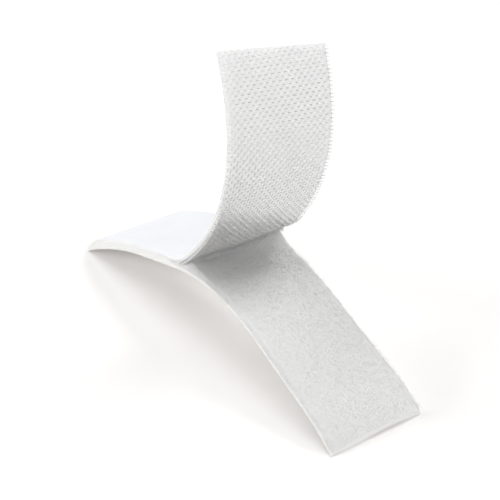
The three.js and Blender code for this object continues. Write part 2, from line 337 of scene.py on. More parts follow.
# Loop tape backing: a close plain weave that holds the pile, with the weft turning back at both edges.
# The turns are yarn loops along the edge, one for each pass of the weft.
LOOP_BACKING_THICKNESS = 0.35
BACKING_INSET = 0.1
TURNS_MARGIN = 0.3
LOOP_BACKING_BASE = LOOP_ADHESIVE_BASE + ADHESIVE_THICKNESS + LAYER_GAP
WEFT_PITCH = 0.48
WARP_PITCH = 0.42
YARN_OVER = 0.35
YARN_ROUND = 0.35
YARN_LEVEL = 0.3
TURN_RADIUS = 0.11
TURN_YARN_RADIUS = 0.07

weave, weave_in, weave_out = new_tree(
    "plain_weave",
    "ShaderNodeTree",
    [
        ("Place", "NodeSocketVector", None),
        ("Weft Pitch", "NodeSocketFloat", WEFT_PITCH),
        ("Warp Pitch", "NodeSocketFloat", WARP_PITCH),
    ],
    [("Height", "NodeSocketFloat", None)],
)
weave_axes = add_node(weave, "ShaderNodeSeparateXYZ", Vector=weave_in.outputs["Place"])
weave_yarns = []
for axis, pitch in (("X", "Weft Pitch"), ("Y", "Warp Pitch")):
    turns = arithmetic(weave, "DIVIDE", result(weave_axes, axis), weave_in.outputs[pitch])
    weave_yarns.append(arithmetic(weave, "SINE", arithmetic(weave, "MULTIPLY", turns, math.pi)))
weave_over = arithmetic(weave, "MULTIPLY", weave_yarns[0], weave_yarns[1])
weave_round = arithmetic(
    weave,
    "MAXIMUM",
    arithmetic(weave, "ABSOLUTE", weave_yarns[0]),
    arithmetic(weave, "ABSOLUTE", weave_yarns[1]),
)
weave_crossing = arithmetic(weave, "MULTIPLY_ADD", weave_over, YARN_OVER, YARN_LEVEL)
weave_sum = arithmetic(weave, "MULTIPLY_ADD", weave_round, YARN_ROUND, weave_crossing)
weave.links.new(weave_sum, weave_out.inputs["Height"])


def woven_material(name, pale, deep, depth):
    """White synthetic weave: pale yarn tops, darker gaps painted as shade, and a matt thread surface."""
    material, tree, shader, place = new_material(name, roughness=0.8, specular=0.3)
    yarns = result(use_group(tree, weave, Place=place))
    tree.links.new(mixed_colour(tree, yarns, deep, pale), shader.inputs["Base Color"])
    add_bump(tree, shader, yarns, strength=0.8, distance=depth)
    return material


loop_weave = woven_material("loop_backing_weave", (0.96, 0.96, 0.955), (0.88, 0.88, 0.875), 0.00005)
loop_backing = add_band(
    "loop_backing_weave",
    loop_point,
    loop_rows,
    LOOP_BACKING_BASE,
    LOOP_BACKING_BASE + LOOP_BACKING_THICKNESS,
    loop_weave,
    waver=0.03,
    phase=3.1,
    half_width=HALF_WIDTH - BACKING_INSET,
)
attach(loop_backing, "mated_pair")
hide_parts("loop_backing")


def carrier(name, points, **vectors):
    """Loose points in millimetres that carry directions for a node tree."""
    mesh = bpy.data.meshes.new(name)
    mesh.from_pydata((points * MM).tolist(), [], [])
    for key, values in vectors.items():
        kept = mesh.attributes.new(key, "FLOAT_VECTOR", "POINT")
        kept.data.foreach_set("vector", values.astype(np.float32).ravel())
    made = bpy.data.objects.new(name, mesh)
    bpy.context.scene.collection.objects.link(made)
    return made


def grow(piece, tree, **values):
    """Runs a node tree on a piece and leaves the result as the piece's own plain mesh."""
    modifier = piece.modifiers.new(tree.name, "NODES")
    modifier.node_group = tree
    for item in tree.interface.items_tree:
        key = item.name.replace(" ", "_")
        if item.in_out == "INPUT" and key in values:
            modifier[item.identifier] = values[key]
    graph = bpy.context.evaluated_depsgraph_get()
    mesh = bpy.data.meshes.new_from_object(piece.evaluated_get(graph))
    piece.modifiers.remove(modifier)
    piece.data = mesh
    mesh.name = piece.name
    mesh.shade_smooth()
    return piece


def unit(vectors):
    """Directions of length one."""
    return vectors / np.linalg.norm(vectors, axis=-1, keepdims=True)


def directions(point_at, along, across, height):
    """Unit directions along the tape, across it and away from its back at given places."""
    small = 0.01
    onward = point_at(along + small, across, height) - point_at(along - small, across, height)
    sideways = point_at(along, across + small, height) - point_at(along, across - small, height)
    upward = point_at(along, across, height + small) - point_at(along, across, height - small)
    return unit(onward), unit(sideways), unit(upward)


def strands_on_points(tree, group_in, group_out, curve, sides, radius, twist, spread, caps=True):
    """Ends a tree: round strands along a curve, one on each point, turned as the point's directions say."""
    section = add_node(
        tree, "GeometryNodeCurvePrimitiveCircle", Resolution=sides, Radius=group_in.outputs[radius]
    )
    strand = add_node(
        tree, "GeometryNodeCurveToMesh", Curve=result(curve), Profile_Curve=result(section), Fill_Caps=caps
    )
    away, ahead = [
        result(
            add_node(tree, "GeometryNodeInputNamedAttribute", {"data_type": "FLOAT_VECTOR"}, Name=name),
            "Attribute",
        )
        for name in ("away", "ahead")
    ]
    facing = add_node(
        tree,
        "FunctionNodeAxesToRotation",
        {"primary_axis": "Z", "secondary_axis": "X"},
        Primary_Axis=away,
        Secondary_Axis=ahead,
    )
    wobble = add_node(
        tree,
        "FunctionNodeRandomValue",
        {"data_type": "FLOAT_VECTOR"},
        Min=tuple(-angle for angle in twist),
        Max=twist,
        Seed=group_in.outputs["Seed"],
    )
    turned = add_node(
        tree,
        "FunctionNodeRotateRotation",
        {"rotation_space": "LOCAL"},
        Rotation=result(facing),
        Rotate_By=result(wobble),
    )
    size = add_node(
        tree,
        "FunctionNodeRandomValue",
        {"data_type": "FLOAT"},
        Min=1 - spread,
        Max=1 + spread,
        Seed=group_in.outputs["Seed"],
    )
    placed = add_node(
        tree,
        "GeometryNodeInstanceOnPoints",
        Points=group_in.outputs["Geometry"],
        Instance=result(strand),
        Rotation=result(turned),
        Scale=result(size),
    )
    real = add_node(tree, "GeometryNodeRealizeInstances", Geometry=result(placed))
    coated = add_node(
        tree, "GeometryNodeSetMaterial", Geometry=result(real), Material=group_in.outputs["Material"]
    )
    tree.links.new(result(coated), group_out.inputs["Geometry"])


GEOMETRY_SOCKETS = [("Geometry", "NodeSocketGeometry", None), ("Material", "NodeSocketMaterial", None)]
turns_tree, turns_in, turns_out = new_tree(
    "weft_turns",
    "GeometryNodeTree",
    [
        *GEOMETRY_SOCKETS,
        ("Turn Radius", "NodeSocketFloat", TURN_RADIUS * MM),
        ("Yarn Radius", "NodeSocketFloat", TURN_YARN_RADIUS * MM),
        ("Seed", "NodeSocketInt", 3),
    ],
    GEOMETRY_SOCKETS[:1],
)
turn_arc = add_node(
    turns_tree,
    "GeometryNodeCurveArc",
    Resolution=6,
    Radius=turns_in.outputs["Turn Radius"],
    Start_Angle=-math.pi / 2,
    Sweep_Angle=math.pi,
)
strands_on_points(
    turns_tree,
    turns_in,
    turns_out,
    turn_arc,
    sides=5,
    radius="Yarn Radius",
    twist=(0.15, 0.15, 0.25),
    spread=0.12,
)


def weft_turns(name, point_at, start, end, height, material, seed, keep=None):
    """The weft's turns along both edges of a tape, from one length along it to another."""
    count = int((end - start) / WEFT_PITCH)
    along = np.tile(start + (np.arange(count) + 0.5) * WEFT_PITCH, 2)
    side = np.repeat((-1.0, 1.0), count)
    across = side * (HALF_WIDTH - TURN_RADIUS - TURN_YARN_RADIUS)
    if keep is not None:
        kept = keep(along, across)
        along, across, side = along[kept], across[kept], side[kept]
    onward, sideways, upward = directions(point_at, along, across, height)
    feet = carrier(name, point_at(along, across, height), ahead=sideways * side[:, None], away=onward)
    return grow(feet, turns_tree, Material=material, Seed=seed)


loop_turns = weft_turns(
    "loop_backing_turns",
    loop_point,
    TURNS_MARGIN,
    TAPE_LENGTH - TURNS_MARGIN,
    LOOP_BACKING_BASE + LOOP_BACKING_THICKNESS / 2,
    loop_weave,
    seed=5,
)
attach(loop_turns, "mated_pair")

# Loop pile: napped nylon loops that stand on the weave as a soft grey felt. Under the hooks they are
# pressed down and caught. A felted bed carries fine loops that lean every way above it.
PILE_BASE = LOOP_BACKING_BASE + LOOP_BACKING_THICKNESS + LAYER_GAP
PILE_FREE_HEIGHT = 0.9
PILE_PRESSED_HEIGHT = 0.4
PILE_CAUGHT_HEIGHT = 1.16
PILE_BED_SHARE = 0.75
PILE_DRAWN_TO = 5.4
PILE_DRAWN_RISE = 0.0623
PILE_DRAWN_LENGTH = 9.0
PILE_DRAWN_CURVE = 2.2
PILE_CUT_MARGIN = 0.4
PILE_LENGTH = TAPE_LENGTH - PILE_CUT_MARGIN
FAR_CORNER_LIFT = 2.0
FAR_CORNER_START = -2.0
FAR_CORNER_RISE = (-10.0, 9.0)
FAR_CORNER_FALL = (5.0, 9.0)
PILE_SELVEDGE = 0.2
PILE_SQUEEZED_SELVEDGE = 0.1
PILE_EDGE_ROUND = 0.9
PILE_EDGE_LEAST = 0.08
PILE_SPREADS = (-3.0, 6.0)
PILE_ROUNDS = (-3.0, 4.0)
PILE_LUMPS_FROM = 2.0
FELT_LUMP = 0.012
BED_STEP = 0.32
PILE_LOOP_WIDTH = 0.3
PILE_LOOP_HEIGHT = 0.2
PILE_LOOP_RADIUS = 0.016


def past_peel(along, across):
    """Distance past the peel line, square to it."""
    return (along - PEEL_AT) * math.cos(PEEL_SKEW) - across * math.sin(PEEL_SKEW)


def felt_lumps(along, across):
    """The uneven height of felted pile, from crossing ripples of unlike length."""
    ripples = (
        (2.31, 1.62, 0.0), (-1.87, 2.43, 1.1), (3.27, -2.71, 2.0),
        (4.13, 3.51, 0.7), (-5.21, 4.37, 2.9), (6.71, -5.83, 1.7),
    )
    lumps = [np.sin(u * along + v * across + start) for u, v, start in ripples]
    return sum(lumps) / len(lumps)


def pile_half_width(along):
    """Half the width of the pile: squeezed out under the hooks, inside the bare selvedge past them."""
    released = smooth_step((along - PEEL_AT - PILE_SPREADS[0]) / PILE_SPREADS[1])
    bare = PILE_SQUEEZED_SELVEDGE + (PILE_SELVEDGE - PILE_SQUEEZED_SELVEDGE) * released
    return HALF_WIDTH - bare


def far_corner_lift(along, across):
    """How far the far corner of the mated part is already lifted where the peel begins."""
    past = past_peel(along, across)
    sideways = smooth_step((across - FAR_CORNER_START) / (HALF_WIDTH - FAR_CORNER_START))
    rise = smooth_step((past - FAR_CORNER_RISE[0]) / FAR_CORNER_RISE[1])
    fall = smooth_step((past - FAR_CORNER_FALL[0]) / FAR_CORNER_FALL[1])
    return FAR_CORNER_LIFT * sideways * rise * (1 - fall)


def pile_bed_height(along, across):
    """Height of the felted bed: full of hooks, drawn up where they let go, and settled past that."""
    past = past_peel(along, across)
    settled = PILE_FREE_HEIGHT * PILE_BED_SHARE
    pulled = settled + PILE_DRAWN_RISE * np.clip(past, 0, PILE_DRAWN_TO) ** 2
    pulled = np.maximum(PILE_CAUGHT_HEIGHT, pulled) + far_corner_lift(along, across)
    share = np.clip(1 - (past - PILE_DRAWN_TO) / PILE_DRAWN_LENGTH, 0, 1) ** PILE_DRAWN_CURVE
    top = settled + (pulled - settled) * share
    inside = np.clip((pile_half_width(along) - np.abs(across)) / PILE_EDGE_ROUND, 0, 1)
    rounding = smooth_step((past - PILE_ROUNDS[0]) / PILE_ROUNDS[1])
    rounded = 1 - rounding * (1 - np.sin(inside * np.pi / 2))
    free = smooth_step((past - PILE_LUMPS_FROM) / PILE_DRAWN_LENGTH)
    height = top * (PILE_EDGE_LEAST + (1 - PILE_EDGE_LEAST) * rounded)
    return PILE_BASE + height + FELT_LUMP * free * felt_lumps(along, across) * inside


# Painted shade: both tapes are darker by place towards the fold, and keep their colour where they are
# mated.
FOLD_MATED = (6.0, 1.5)
FOLD_EDGE_FADE = 0.5
NO_UNSHADED_EDGE = 99.0
fold_grey, fold_in, fold_out = new_tree(
    "fold_grey",
    "ShaderNodeTree",
    [
        ("Place", "NodeSocketVector", None),
        ("Start", "NodeSocketFloat", 0.0),
        ("End", "NodeSocketFloat", 30.0),
        ("Least", "NodeSocketFloat", 0.7),
        ("Slant", "NodeSocketFloat", 0.0),
        ("Edge", "NodeSocketFloat", NO_UNSHADED_EDGE),
    ],
    [("Share", "NodeSocketFloat", None)],
)
fold_axes = add_node(fold_grey, "ShaderNodeSeparateXYZ", Vector=fold_in.outputs["Place"])
fold_along = arithmetic(fold_grey, "SUBTRACT", result(fold_axes, "X"), PEEL_AT)
fold_skewed = arithmetic(fold_grey, "MULTIPLY", result(fold_axes, "Y"), -math.sin(PEEL_SKEW))
fold_past = arithmetic(fold_grey, "MULTIPLY_ADD", fold_along, math.cos(PEEL_SKEW), fold_skewed)
fold_slanted = arithmetic(
    fold_grey, "MULTIPLY_ADD", result(fold_axes, "Y"), fold_in.outputs["Slant"], fold_past
)
fold_shares = [
    result(add_node(
        fold_grey,
        "ShaderNodeMapRange",
        {"interpolation_type": "SMOOTHSTEP"},
        Value=value,
        From_Min=first,
        From_Max=last,
        To_Min=fold_in.outputs["Least"],
        To_Max=1.0,
    ))
    for value, first, last in (
        (fold_slanted, fold_in.outputs["Start"], fold_in.outputs["End"]),
        (fold_past, *FOLD_MATED),
        (
            arithmetic(fold_grey, "ABSOLUTE", result(fold_axes, "Y")),
            arithmetic(fold_grey, "SUBTRACT", fold_in.outputs["Edge"], FOLD_EDGE_FADE),
            fold_in.outputs["Edge"],
        ),
    )
]
fold_share = arithmetic(fold_grey, "MAXIMUM", *fold_shares[:2])
fold_share = arithmetic(fold_grey, "MAXIMUM", fold_share, fold_shares[2])
fold_grey.links.new(fold_share, fold_out.inputs["Share"])


def colour_with_fold_shade(tree, shader, place, colour, fold, edge=NO_UNSHADED_EDGE):
    """Gives a shader its colour, with painted shade by place towards the fold between the two tapes."""
    share = use_group(tree, fold_grey, Place=place, Edge=edge, **fold)
    mixed = add_node(
        tree,
        "ShaderNodeMix",
        {"data_type": "RGBA", "blend_type": "MULTIPLY"},
        Factor=1.0,
        A=colour,
        B=result(share),
    )
    tree.links.new(result(mixed), shader.inputs["Base Color"])


def fibre_material(
    name, colours, fold, roughness, specular, scale, detail, sheen=(0.0, 0.5), edge=NO_UNSHADED_EDGE
):
    """White synthetic fibre: a fine mottle between two colours, with painted shade by place towards the
    fold.
    """
    material, tree, shader, place = new_material(name, roughness, specular)
    shader.inputs["Sheen Weight"].default_value = sheen[0]
    shader.inputs["Sheen Roughness"].default_value = sheen[1]
    tone = result(use_group(tree, mottle, Place=place, Scale=scale, Detail=detail))
    colour_with_fold_shade(tree, shader, place, mixed_colour(tree, tone, *colours), fold, edge)
    return material, tree, shader, tone


# Painted shade on the pile: darkest next to the fold, and gone further along the leg.
PILE_FOLD_SHADE = {"Start": 6.0, "End": 27.0, "Least": 0.86, "Slant": 0.45}
pile_felt, felt_tree, felt_shader, felt_tone = fibre_material(
    "pile_felt",
    ((0.80, 0.80, 0.795), (0.87, 0.87, 0.865)),
    PILE_FOLD_SHADE,
    roughness=0.95,
    specular=0.2,
    scale=3.4,
    detail=3.0,
    sheen=(0.25, 0.6),
)
add_bump(felt_tree, felt_shader, felt_tone, strength=0.3, distance=0.00005)

bed_rows = slanted_rows(np.linspace(0, PILE_LENGTH, int(PILE_LENGTH / BED_STEP) + 1), 0.0)
bed_columns = int(TAPE_WIDTH / BED_STEP)
bed_half_width = pile_half_width(bed_rows[0])[:, None]
bed_along, bed_across = grid_places(bed_rows, bed_half_width, bed_columns, waver=0.06, phase=0.9)
bed_top = pile_bed_height(bed_along, bed_across)
bed_grids = [(bed_along, bed_across, np.full_like(bed_along, PILE_BASE)), (bed_along, bed_across, bed_top)]
pile_bed = add_piece(
    "pile_bed",
    np.concatenate([loop_point(*grid).reshape(-1, 3) for grid in bed_grids]),
    band_faces(len(bed_rows[0]), bed_columns),
    pile_felt,
    np.concatenate([np.stack(grid, axis=-1).reshape(-1, 3) for grid in bed_grids]),
)
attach(pile_bed, "mated_pair")
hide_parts("loop_pile")

FIBRE_FINISH = {"roughness": 0.6, "specular": 0.35, "scale": 2.2, "detail": 3.0}
PILE_FIBRE_COLOURS = ((0.82, 0.82, 0.815), (0.91, 0.91, 0.905))
# The paler fibre is the pile's white nylon, lightened as painted light for the edges and the fold's mouth.
PAINTED_LIGHT_FIBRE_COLOURS = ((0.92, 0.92, 0.918), (0.97, 0.97, 0.968))
pile_fibre = fibre_material(
    "pile_fibre", PILE_FIBRE_COLOURS, PILE_FOLD_SHADE, sheen=(0.2, 0.5), **FIBRE_FINISH
)[0]
painted_light_fibre = fibre_material(
    "pile_edge_fibre", PAINTED_LIGHT_FIBRE_COLOURS, PILE_FOLD_SHADE, sheen=(0.8, 0.4), **FIBRE_FINISH
)[0]


def bent_strand(tree, resolution, *knots):
    """A curve from a start to an end, bent by a handle for each, all given as places ahead and away."""
    places = [result(add_node(tree, "ShaderNodeCombineXYZ", X=ahead, Z=away)) for ahead, away in knots]
    labels = ("Start", "Start_Handle", "End_Handle", "End")
    sockets = dict(zip(labels, places))
    return add_node(tree, "GeometryNodeCurvePrimitiveBezierSegment", Resolution=resolution, **sockets)


# The handles of a pile loop stand this much higher and wider than the loop itself.
LOOP_HANDLE_RISE = 1.33
LOOP_HANDLE_SPREAD = 1.3
loops_tree, loops_in, loops_out = new_tree(
    "pile_loops",
    "GeometryNodeTree",
    [
        *GEOMETRY_SOCKETS,
        ("Loop Width", "NodeSocketFloat", PILE_LOOP_WIDTH * MM),
        ("Loop Height", "NodeSocketFloat", PILE_LOOP_HEIGHT * MM),
        ("Fibre Radius", "NodeSocketFloat", PILE_LOOP_RADIUS * MM),
        ("Seed", "NodeSocketInt", 11),
    ],
    GEOMETRY_SOCKETS[:1],
)
half_span = arithmetic(loops_tree, "MULTIPLY", loops_in.outputs["Loop Width"], 0.5)
loop_crown = arithmetic(loops_tree, "MULTIPLY", loops_in.outputs["Loop Height"], LOOP_HANDLE_RISE)
loop_outs = [
    arithmetic(loops_tree, "MULTIPLY", half_span, share)
    for share in (-1.0, -LOOP_HANDLE_SPREAD, LOOP_HANDLE_SPREAD, 1.0)
]
loop_curve = bent_strand(loops_tree, 5, *zip(loop_outs, (0.0, loop_crown, loop_crown, 0.0)))
strands_on_points(
    loops_tree,
    loops_in,
    loops_out,
    loop_curve,
    sides=3,
    radius="Fibre Radius",
    twist=(1.1, 0.5, math.pi),
    spread=0.35,
    caps=False,
)

PILE_EDGE_LEAN = 1.2
PILE_EDGE_LEAN_BAND = 0.8
PILE_LOOP_ROOT = 0.05


def pile_loops(name, start, end, density, seed, edge_band=None, material=pile_fibre, **sizes):
    """Fine loops scattered over a length of the pile, or only over a band along both edges."""
    draw = np.random.default_rng(seed)
    count = int((end - start) * TAPE_WIDTH * density)
    along = draw.uniform(start, end, count)
    half_width = pile_half_width(along)
    across = draw.uniform(-1, 1, count) * half_width
    edge = np.clip((np.abs(across) - half_width) / PILE_EDGE_LEAN_BAND + 1, 0, 1)
    if edge_band is not None:
        kept = np.abs(across) > half_width - edge_band
        along, across, edge = along[kept], across[kept], edge[kept]
    height = pile_bed_height(along, across) - PILE_LOOP_ROOT
    onward, sideways, upward = directions(loop_point, along, across, height)
    away = unit(upward + sideways * (PILE_EDGE_LEAN * edge * np.sign(across))[:, None])
    feet = carrier(
        name, loop_point(along, across, height), ahead=sideways, away=away,
        tape_place=np.stack((along, across, height), axis=-1),
    )
    grow(feet, loops_tree, Material=material, Seed=seed, **sizes)
    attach(feet, "mated_pair")


LOOPS_START = 0.2
LOOPS_END = PILE_LENGTH - 0.2
NAP_STARTS = [PEEL_AT + past for past in (-4.0, 12.0, 28.0, 44.5)]
NAP_DENSITY = {"upper": 16.0, "middle": 16.0, "lower": 15.8, "foot": 15.5}
# Along the edges of the mated part the loops take the paler fibre, lightened as painted light.
pile_loops(
    "pile_loops_mated", LOOPS_START, NAP_STARTS[0], density=9.0, seed=21, edge_band=1.2, material=painted_light_fibre
)
for index, (part, density) in enumerate(NAP_DENSITY.items()):
    start, end = (*NAP_STARTS, LOOPS_END)[index:index + 2]
    pile_loops(f"pile_loops_{part}", start, end, density, seed=22 + index)

# Edge fuzz: taller, finer nylon fibres that stand along both edges of the bare leg.
# They are pile loops that were worked loose at the slit, so they lean outwards; their paler colour is
# painted light.
EDGE_FUZZ_START = PEEL_AT + 4.0
EDGE_TUFT = {"Loop_Width": 0.35 * MM, "Loop_Height": 0.6 * MM, "Fibre_Radius": 0.015 * MM}
STRAY_FIBRE = {"Loop_Width": 0.4 * MM, "Loop_Height": 1.0 * MM, "Fibre_Radius": 0.012 * MM}
for name, density, seed, edge_band, sizes in (
    ("pile_loops_edges", 8.0, 26, 0.6, EDGE_TUFT),
    ("pile_loops_stray", 9.0, 27, 0.4, STRAY_FIBRE),
):
    pile_loops(name, EDGE_FUZZ_START, LOOPS_END, density, seed, edge_band, painted_light_fibre, **sizes)

# Hook tape ground and hooks: stiff nylon strands bent over into hooks, in staggered rows on a thin weave.
# They grow from the weave, hang down into the pile up to the peel line, and stand clear on the flap.
BEND = (5.0, 29.5)
CURL_TURNS = (15.9, 23.0, 30.7, 21.7)
CURL_LENGTH = (FREE_LENGTH - BEND[0]) / len(CURL_TURNS)
FLAP = (BEND, *((CURL_LENGTH, turn) for turn in CURL_TURNS))
HOOK_BACKING_THICKNESS = 0.24
HOOK_GROUND_THICKNESS = 0.16
GROUND_INSET = 0.08
HOOK_HEIGHT = 0.75
HOOK_REACH = 0.75
HOOK_STRAND_RADIUS = 0.16
HOOK_TIP_SHARE = 0.42
HOOK_ROW_PITCH = 0.85
HOOK_COLUMN_PITCH = 1.51
HOOK_ROW_SKEW = math.tan(math.radians(4.2))
HOOK_ROOT_DEPTH = 0.06
HOOK_EDGE_BAND = 1.0
HOOK_EDGE_PLACE = HALF_WIDTH - 0.1
HOOK_CUT_MARGIN = 5.0
HOOK_TIP_MARGIN = 0.2
HOOK_MATED_INSET = 0.3
HOOK_FREE_AT = 2.0
HOOK_ADHESIVE_TOP = -LINER_THICKNESS - LAYER_GAP
HOOK_BACKING_TOP = HOOK_ADHESIVE_TOP - ADHESIVE_THICKNESS - LAYER_GAP
GROUND_TOP = HOOK_BACKING_TOP - HOOK_BACKING_THICKNESS - LAYER_GAP
GROUND_FACE = GROUND_TOP - HOOK_GROUND_THICKNESS
ENGAGEMENT_GAP = 0.03
MATED_THICKNESS = PILE_BASE + PILE_PRESSED_HEIGHT + ENGAGEMENT_GAP - GROUND_FACE + HOOK_HEIGHT
peel_heading = float(run_at(ARCH, START_HEADING, PEEL_AT)[2])
tape_onward = np.array((math.cos(peel_heading), 0.0, math.sin(peel_heading)))
tape_across = np.array((0.0, 1.0, 0.0))
flap_away = np.array((-math.sin(peel_heading), 0.0, math.cos(peel_heading)))
flap_onward = tape_onward * math.cos(PEEL_SKEW) - tape_across * math.sin(PEEL_SKEW)
bend_axis = tape_onward * math.sin(PEEL_SKEW) + tape_across * math.cos(PEEL_SKEW)
peel_point = loop_point(np.array(PEEL_AT), np.array(0.0), MATED_THICKNESS)


def flap_point(past, axial, height):
    """Points of the flap: distance past the peel line, place along the bend, height above its back."""
    x, z, heading = run_at(FLAP, 0.0, past)
    out = (x - height * np.sin(heading))[..., None] * flap_onward
    up = (z + height * np.cos(heading))[..., None] * flap_away
    return peel_point + out + up + np.asarray(axial)[..., None] * bend_axis


def hook_point(along, across, height):
    """Points of the hook tape: on the loop tape up to the peel line, on the flap after it."""
    past = past_peel(along, across)
    axial = (along - PEEL_AT) * math.sin(PEEL_SKEW) + across * math.cos(PEEL_SKEW)
    mated = loop_point(along, across, MATED_THICKNESS + height)
    free = flap_point(np.maximum(past, 0), axial, height)
    lift = far_corner_lift(along, across)[..., None] * flap_away
    return np.where((past > 0)[..., None], free, mated) + lift


# The tape bends at three lines, so each layer is three lengths that meet between the bends.
LENGTHS = ("mated", "middle", "tip")
SEAMS_PAST_PEEL = (12.25, 32.0)
BENDS = {
    "mated": ("mated_pair", "flap_lower", 0.0, 6.0),
    "middle": ("flap_lower", "flap_middle", 17.0, 27.0),
    "tip": ("flap_middle", "flap_tip", 37.0, 47.0),
}
REPLACED = {"mated": ("mated", "lower"), "middle": ("middle",), "tip": ("tip",)}
SQUARE_START = 12.0
SLANT_MARGIN = 18.0
SLANT_PAST_PEEL = 49.0
seam_middles = [PEEL_AT + past / math.cos(PEEL_SKEW) for past in SEAMS_PAST_PEEL]


def length_ends(part):
    """Where one length of hook tape starts and ends along the middle of the tape."""
    index = LENGTHS.index(part)
    return (0.0, *seam_middles, TAPE_LENGTH)[index:index + 2]


def hook_rows(part):
    """Rows of one length of hook tape: square at its cut ends, on the slant at the bends."""
    start, end = length_ends(part)
    middle = np.linspace(start, end, int((end - start) / ROW_STEP) + 1)
    rise = smooth_step((middle - SQUARE_START) / (PEEL_AT - SLANT_MARGIN))
    fall = smooth_step((middle - PEEL_AT - SLANT_PAST_PEEL) / (FREE_LENGTH - SLANT_PAST_PEEL))
    return slanted_rows(middle, rise * (1 - fall))


def hook_band(name, part, low, high, material, inset=0.0, **slit):
    """One length of one layer of the hook tape, between two heights over its back."""
    half_width = HALF_WIDTH - inset
    return add_band(name, hook_point, hook_rows(part), low, high, material, half_width=half_width, **slit)


def laid_on(part):
    """Works out where a length of hook tape starts and ends, and does nothing more with it."""
    start, end = length_ends(part)


def on_length(part):
    """Tells whether a place on the hook tape belongs to one of its three lengths."""
    index = LENGTHS.index(part)
    low, high = (-math.inf, *SEAMS_PAST_PEEL, math.inf)[index:index + 2]
    return lambda along, across: (past_peel(along, across) >= low) & (past_peel(along, across) < high)


def bend_with_flap(piece, part, layer=None):
    """Bakes a length of hook tape into place and, for a layer, hides the solids it stands for."""
    first, second, start, end = BENDS[part]
    ends = flap_point(np.array((start, end)), np.zeros(2), GROUND_FACE / 2) * MM
    tuple(ends[0])
    tuple(ends[1])
    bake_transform(piece)
    if layer is not None:
        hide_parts(*(f"{layer}_{length}" for length in REPLACED[part]))


# Painted shade on the hook tape, left off the hooks along its edges.
UNSHADED_HOOK_EDGE = 0.3
HOOK_FOLD_SHADE = {"Start": 4.0, "End": 30.0, "Least": 0.8, "Slant": 0.85}
hook_nylon = fibre_material(
    "hook_nylon",
    ((0.945, 0.945, 0.943), (0.97, 0.97, 0.968)),
    HOOK_FOLD_SHADE,
    roughness=0.42,
    specular=0.4,
    scale=0.5,
    detail=2.0,
    edge=HALF_WIDTH - UNSHADED_HOOK_EDGE,
)[0]

# The ground between the hooks: a weave with a dark spot beside each hook, painted shade for the gaps
# between hooks.
# The painted spots fade to about a tenth near the fold and towards the tip.
HOLE_SHIFT = (0.33, 0.39)
HOLE_SHADE_FOLD_FADE = {"Start": 7.0, "End": 25.0, "Least": 0.1, "Slant": 1.0}
HOLE_SHADE_TIP_FADE = {"Start": 26.0, "End": 44.0, "Least": 0.15, "Slant": 0.4}
HOLE_SHADE_TIP_SHARE = 0.1
ground_weave, ground_tree, ground_shader, ground_place = new_material(
    "hook_ground_weave", roughness=0.8, specular=0.3
)
ground_axes = add_node(ground_tree, "ShaderNodeSeparateXYZ", Vector=ground_place)
ground_row = arithmetic(
    ground_tree,
    "SUBTRACT",
    arithmetic(ground_tree, "SUBTRACT", result(ground_axes, "X"), HOLE_SHIFT[0]),
    arithmetic(ground_tree, "MULTIPLY", result(ground_axes, "Y"), HOOK_ROW_SKEW),
)
ground_column = arithmetic(ground_tree, "SUBTRACT", result(ground_axes, "Y"), HOLE_SHIFT[1])
ground_waves = [
    arithmetic(ground_tree, "COSINE", arithmetic(ground_tree, "MULTIPLY", value, math.pi / pitch))
    for value, pitch in ((ground_row, HOOK_ROW_PITCH), (ground_column, HOOK_COLUMN_PITCH / 2))
]
hole_shade_spot = add_node(
    ground_tree,
    "ShaderNodeMapRange",
    {"interpolation_type": "SMOOTHSTEP"},
    Value=arithmetic(ground_tree, "MULTIPLY", ground_waves[0], ground_waves[1]),
    From_Min=0.1,
    From_Max=1.0,
)
hole_shade_near_fold = use_group(ground_tree, fold_grey, Place=ground_place, **HOLE_SHADE_FOLD_FADE)
hole_shade_near_tip = use_group(ground_tree, fold_grey, Place=ground_place, **HOLE_SHADE_TIP_FADE)
painted_hole_shade = arithmetic(
    ground_tree,
    "MULTIPLY",
    arithmetic(ground_tree, "MULTIPLY", result(hole_shade_spot), result(hole_shade_near_fold)),
    arithmetic(ground_tree, "SUBTRACT", 1 + HOLE_SHADE_TIP_SHARE, result(hole_shade_near_tip)),
)
# Pale ground colour, with the dark painted shade spots mixed in.
ground_colour = mixed_colour(ground_tree, painted_hole_shade, (0.95, 0.95, 0.948), (0.56, 0.56, 0.56))
colour_with_fold_shade(ground_tree, ground_shader, ground_place, ground_colour, HOOK_FOLD_SHADE)
ground_yarns = use_group(ground_tree, weave, Place=ground_place)
add_bump(ground_tree, ground_shader, result(ground_yarns), strength=0.8, distance=0.00004)

hooks_tree, hooks_in, hooks_out = new_tree(
    "hook_strands",
    "GeometryNodeTree",
    [
        *GEOMETRY_SOCKETS,
        ("Crown", "NodeSocketFloat", 0.0),
        ("Tip Height", "NodeSocketFloat", HOOK_TIP_SHARE * HOOK_HEIGHT * MM),
        ("Reach", "NodeSocketFloat", HOOK_REACH * MM),
        ("Root Depth", "NodeSocketFloat", HOOK_ROOT_DEPTH * MM),
        ("Strand Radius", "NodeSocketFloat", HOOK_STRAND_RADIUS * MM),
        ("Seed", "NodeSocketInt", 31),
    ],
    GEOMETRY_SOCKETS[:1],
)
hook_root = arithmetic(hooks_tree, "MULTIPLY", hooks_in.outputs["Root Depth"], -1.0)
hook_curve = bent_strand(
    hooks_tree,
    8,
    (0.0, hook_root),
    (0.0, hooks_in.outputs["Crown"]),
    (hooks_in.outputs["Reach"], hooks_in.outputs["Crown"]),
    (hooks_in.outputs["Reach"], hooks_in.outputs["Tip Height"]),
)
strands_on_points(
    hooks_tree,
    hooks_in,
    hooks_out,
    hook_curve,
    sides=6,
    radius="Strand Radius",
    twist=(0.03, 0.03, 0.06),
    spread=0.02,
)

# Handles at this height bring the middle of the bent strand up to the height of the hook.
HOOK_CROWN = (8 * (HOOK_HEIGHT - HOOK_STRAND_RADIUS) + HOOK_ROOT_DEPTH - HOOK_TIP_SHARE * HOOK_HEIGHT) / 6

